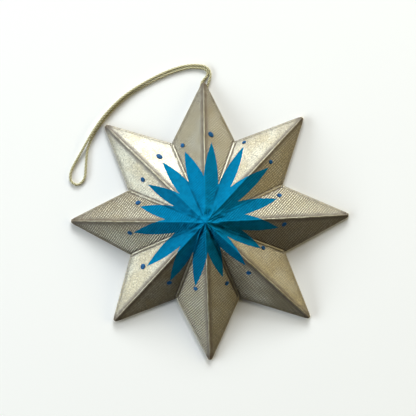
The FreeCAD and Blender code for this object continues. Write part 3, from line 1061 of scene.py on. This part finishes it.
class STAR_OT_seams(bpy.types.Operator):
    """The narrow crowned strips over the ridges, in the valleys and round the rim"""

    bl_idname = "star.seams"
    bl_label = "Fold and rim strips"

    def execute(self, context):
        sizes, colours = context.scene.star_sizes, context.scene.star_colours
        tree = strip_tree()
        self.crumple = sizes.crumple_reach, sizes.crumple_height
        paper = painted_paper("Painted seam paper", colours, "seam")
        binding = painted_paper("Painted rim paper", colours, "rim")
        for number, fold in zip(POINTS, FOLDS):
            after = FOLDS[number % len(FOLDS)]
            self.seam(f"ridge_strip_{number}", tree, paper, sizes, fold.tip,
                      [(fold.left, fold.normal("left")), (fold.right, fold.normal("right"))])
            self.seam(f"valley_strip_{number}", tree, paper, sizes, fold.right,
                      [(fold.tip, fold.normal("right")), (after.tip, after.normal("left"))])
            for side in SIDES:
                self.rim(number, side, fold, tree, binding, sizes)
        return {"FINISHED"}

    def spans(self, node, start, end):
        """The places along a fold where a strip's frame node starts and ends."""
        way = unit(end - start)
        along = (frame_points(node) - start) @ way
        return start + way * along.min(), start + way * along.max()

    def wing(self, node, origin, leg):
        """How far a strip's frame node reaches down one of the two faces it lies on."""
        return ((frame_points(node) - origin) @ leg).max()

    def strip(self, name, node, tree, paper, start, end, legs, normals, crest, seed, bead,
              thickness):
        run = np.linalg.norm(end - start)
        piece = shaped(
            name, mesh_of(name, [start], []), tree, paper, start=tuple(start), end=tuple(end),
            first_leg=tuple(legs[0]), second_leg=tuple(legs[1]), first_normal=tuple(normals[0]),
            second_normal=tuple(normals[1]), crest=tuple(crest), bead=bead, seed=seed * 0.1,
            thickness=thickness, unevenness=0.1 * MM if bead else 0.02 * MM,
            stations=int(run / (0.5 * MM)), apex=tuple(APEX), crumple_reach=self.crumple[0],
            crumple_height=self.crumple[1])
        face_outward(piece.data)
        mark_folds(piece.data)
        piece.data.shade_smooth()
        return piece

    def seam(self, node, tree, paper, sizes, foot, faces):
        way = unit(foot - APEX)
        start, end = self.spans(node, APEX, foot)
        legs = []
        for corner, normal in faces:
            leg = (corner - APEX) - way * ((corner - APEX) @ way)
            leg = unit(leg)
            legs.append(leg * self.wing(node, APEX, leg))
        normals = [normal for _, normal in faces]
        crest = unit(np.cross(way, normals[0] + normals[1])) * 0.25 * MM
        number = int(node.rsplit("_", 1)[1])
        kind = node.split("_", 1)[0]
        piece = self.strip(f"{kind}_bead_{number}", node, tree, paper, start, end, legs, normals,
                           crest, number + (kind == "valley") * 20, sizes.bead_height, 0.25 * MM)
        settle(piece, BODY, [node])

    def rim(self, number, side, fold, tree, paper, sizes):
        node = f"rim_strip_{number}_{side}"
        corner = fold.corner(side)
        way = unit(fold.tip - corner)
        start, end = self.spans(node, corner, fold.tip)
        wall = np.cross(way, [0, 0, 1.0])
        wall = unit(wall if wall @ (corner - fold.foot) > 0 else -wall)
        up = (fold.apex - corner) - way * ((fold.apex - corner) @ way)
        up = unit(up)
        down = np.array([0, 0, -1.0])
        legs = up * self.wing(node, corner, up), down * self.wing(node, corner, down)
        piece = self.strip(
            f"rim_binding_{number}_{side}", node, tree, paper, start, end, legs,
            (fold.normal(side), wall), up * 0.1 * MM, number * 2 + (side == "left") + 40, 0.0,
            0.12 * MM)
        settle(piece, BODY, [node])


class STAR_OT_apex(bpy.types.Operator):
    """The crumpled patch of painted paper over the apex"""

    bl_idname = "star.apex"
    bl_label = "Apex patch"

    RINGS, AROUND = 22, 144

    def execute(self, context):
        sizes, colours = context.scene.star_sizes, context.scene.star_colours
        low, high = (np.array(c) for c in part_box("apex_patch"))
        reach = (high - low)[:2].min() / 2
        crown, skirt, depth = 0.3 * MM, 0.12 * MM, 0.3 * MM
        turns = np.linspace(0, math.tau, self.AROUND, endpoint=False)
        edge = reach * (0.88 + 0.06 * np.sin(3 * turns + 1) + 0.06 * np.sin(8 * turns))
        shares = np.linspace(0, 1, self.RINGS + 1)[1:]
        rays = np.stack([np.cos(turns), np.sin(turns)], axis=1)
        plan = np.concatenate([[APEX[:2]]] + [
            APEX[:2] + rays * (edge * share)[:, None] for share in shares])
        share = np.concatenate([[0.0], np.repeat(shares, self.AROUND)])
        skin = surface_height(plan)
        top = skin + crown * (1 - share ** 2) - skirt
        under = skin - depth
        count = len(plan)
        points = np.concatenate([np.column_stack([plan, top]), np.column_stack([plan, under])])
        faces = []
        for i in range(self.AROUND):
            j = (i + 1) % self.AROUND
            faces.append((0, 1 + i, 1 + j))
            faces.append((count, count + 1 + j, count + 1 + i))
            for ring in range(self.RINGS - 1):
                a, b = 1 + ring * self.AROUND + i, 1 + ring * self.AROUND + j
                c, d = b + self.AROUND, a + self.AROUND
                faces.append((a, d, c, b))
                faces.append((count + b, count + c, count + d, count + a))
            a, b = count - self.AROUND + i, count - self.AROUND + j
            faces.append((b, a, count + a, count + b))
        piece = shaped("apex_cap", mesh_of("apex_cap", points, faces), patch_tree(),
                       painted_paper("Painted apex paper", colours, "rim"),
                       apex=tuple(APEX), crumple_reach=sizes.crumple_reach,
                       crumple_height=sizes.crumple_height)
        mark_folds(piece.data)
        piece.data.shade_smooth()
        settle(piece, BODY, ["apex_patch"])
        return {"FINISHED"}


class STAR_OT_drops(bpy.types.Operator):
    """The raised drops of royal blue paint, one at the tip of each petal"""

    bl_idname = "star.drops"
    bl_label = "Paint drops"

    def execute(self, context):
        sizes, colours = context.scene.star_sizes, context.scene.star_colours
        middles = self.middles()
        middles[RIM_DROP] += unit(middles[RIM_DROP] - APEX) * RIM_DROP_SHIFT
        ways = [self.facet_normal(place) for place in middles]
        starts = mesh_of("drops", middles, [])
        layer = starts.attributes.new("way", "FLOAT_VECTOR", "POINT")
        layer.data.foreach_set("vector", np.array(ways, np.float32).ravel())
        spread = np.array([(long / 2, short / 2, 1.0) for long, short, _ in DROP_SHAPES])
        layer = starts.attributes.new("size", "FLOAT_VECTOR", "POINT")
        layer.data.foreach_set("vector", spread.astype(np.float32).ravel())
        store(starts, "spin", [math.radians(turn) for _, _, turn in DROP_SHAPES])
        piece = shaped("paint_drops", starts, drops_tree(), drop_paint(colours),
                       drop_radius=1.0 * MM, drop_height=0.36 * MM)
        piece.data.shade_smooth()
        settle(piece, BODY, ["paint_dots"])
        return {"FINISHED"}

    def middles(self):
        """Middle of each drop's base, from the separate solids of the frame's node."""
        groups = []
        for place in frame_points("paint_dots"):
            near = [g for g in groups if np.linalg.norm(g[0] - place) < 3 * MM]
            if near:
                near[0].append(place)
            else:
                groups.append([place])
        middles = [np.array(g).mean(axis=0) for g in groups]
        first = 20  # degrees that the first drop lies left of straight up, at most
        return sorted(middles, key=lambda m: (math.degrees(
            math.atan2(m[0] - APEX[0], m[1] - APEX[1])) + first) % 360)

    def facet_normal(self, place):
        """Normal of the facet that a place lies on."""
        best = None
        for fold in FOLDS:
            off = place - fold.foot
            for side in SIDES:
                fits = off @ fold.out > 0 and (off @ fold.across > 0) == (side == "left")
                gap = abs((place - fold.apex) @ fold.normal(side))
                if fits and (best is None or gap < best[0]):
                    best = (gap, fold.normal(side))
        return best[1]


class STAR_OT_back(bpy.types.Operator):
    """The card back and the knot that holds the twine inside the top point"""

    bl_idname = "star.back"
    bl_label = "Back and knot"

    def execute(self, context):
        colours = context.scene.star_colours
        card = bare_card(colours)
        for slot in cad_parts["back_panel"].material_slots:
            slot.material = card
        self.knot(context, colours)
        return {"FINISHED"}

    def knot(self, context, colours):
        """An overhand knot pulled tight, in the space of the frame's knot."""
        low, high = (np.array(c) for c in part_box("cord_knot"))
        middle = (low + high) / 2
        stations, around = 160, 10
        turns = np.linspace(0, math.tau, stations, endpoint=False)
        loop = np.stack([np.sin(turns) + 2 * np.sin(2 * turns),
                         -np.sin(3 * turns) * 1.2,
                         np.cos(turns) - 2 * np.cos(2 * turns)], axis=1)
        tube = 0.42 * MM
        loop *= ((high - low).max() / 2 - tube) / np.abs(loop).max()
        loop += middle
        ahead = np.roll(loop, -1, axis=0) - np.roll(loop, 1, axis=0)
        ahead /= np.linalg.norm(ahead, axis=1)[:, None]
        out = unit(np.array([0.2, 1.0, 0.1]))
        points, faces = [], []
        for i in range(stations):
            side = unit(np.cross(ahead[i], out))
            other = np.cross(ahead[i], side)
            for k in range(around):
                a = math.tau * k / around
                points.append(loop[i] + (side * math.cos(a) + other * math.sin(a)) * tube)
                j, m = (i + 1) % stations, (k + 1) % around
                faces.append((i * around + k, i * around + m, j * around + m, j * around + k))
        knot = bpy.data.objects.new("twine_knot", mesh_of("twine_knot", points, faces))
        # The knot gets part of the twine's painted shade all over.
        store(knot.data, "groove", np.full(len(points), 0.6))
        knot.data.materials.append(twine_fibre(colours))
        knot.data.shade_smooth()
        context.scene.collection.objects.link(knot)
        settle(knot, BODY, ["cord_knot"])


class STAR_PT_panel(bpy.types.Panel):
    """Lists what makes the star"""

    bl_idname = "STAR_PT_panel"
    bl_label = "Paper snowflake star"
    bl_space_type = "VIEW_3D"
    bl_region_type = "UI"
    bl_category = "Star"

    def draw(self, context):
        for group in (context.scene.star_sizes, context.scene.star_colours):
            box = self.layout.box()
            for name in group.__annotations__:
                box.prop(group, name)
        for operator in OPERATORS:
            self.layout.operator(operator.bl_idname)


OPERATORS = (STAR_OT_stage, STAR_OT_twine, STAR_OT_points, STAR_OT_seams, STAR_OT_apex,
             STAR_OT_drops, STAR_OT_back)
CLASSES = (StarSizes, StarColours, *OPERATORS, STAR_PT_panel)


def register():
    for kind in CLASSES:
        bpy.utils.register_class(kind)
    bpy.types.Scene.star_sizes = PointerProperty(type=StarSizes)
    bpy.types.Scene.star_colours = PointerProperty(type=StarColours)


def unregister():
    del bpy.types.Scene.star_colours
    del bpy.types.Scene.star_sizes
    for kind in reversed(CLASSES):
        bpy.utils.unregister_class(kind)


def main():
    register()
    bpy.ops.star.stage()
    bpy.ops.star.twine()
    bpy.ops.star.points()
    bpy.ops.star.seams()
    bpy.ops.star.apex()
    bpy.ops.star.drops()
    bpy.ops.star.back()


if __name__ == "__main__":
    main()
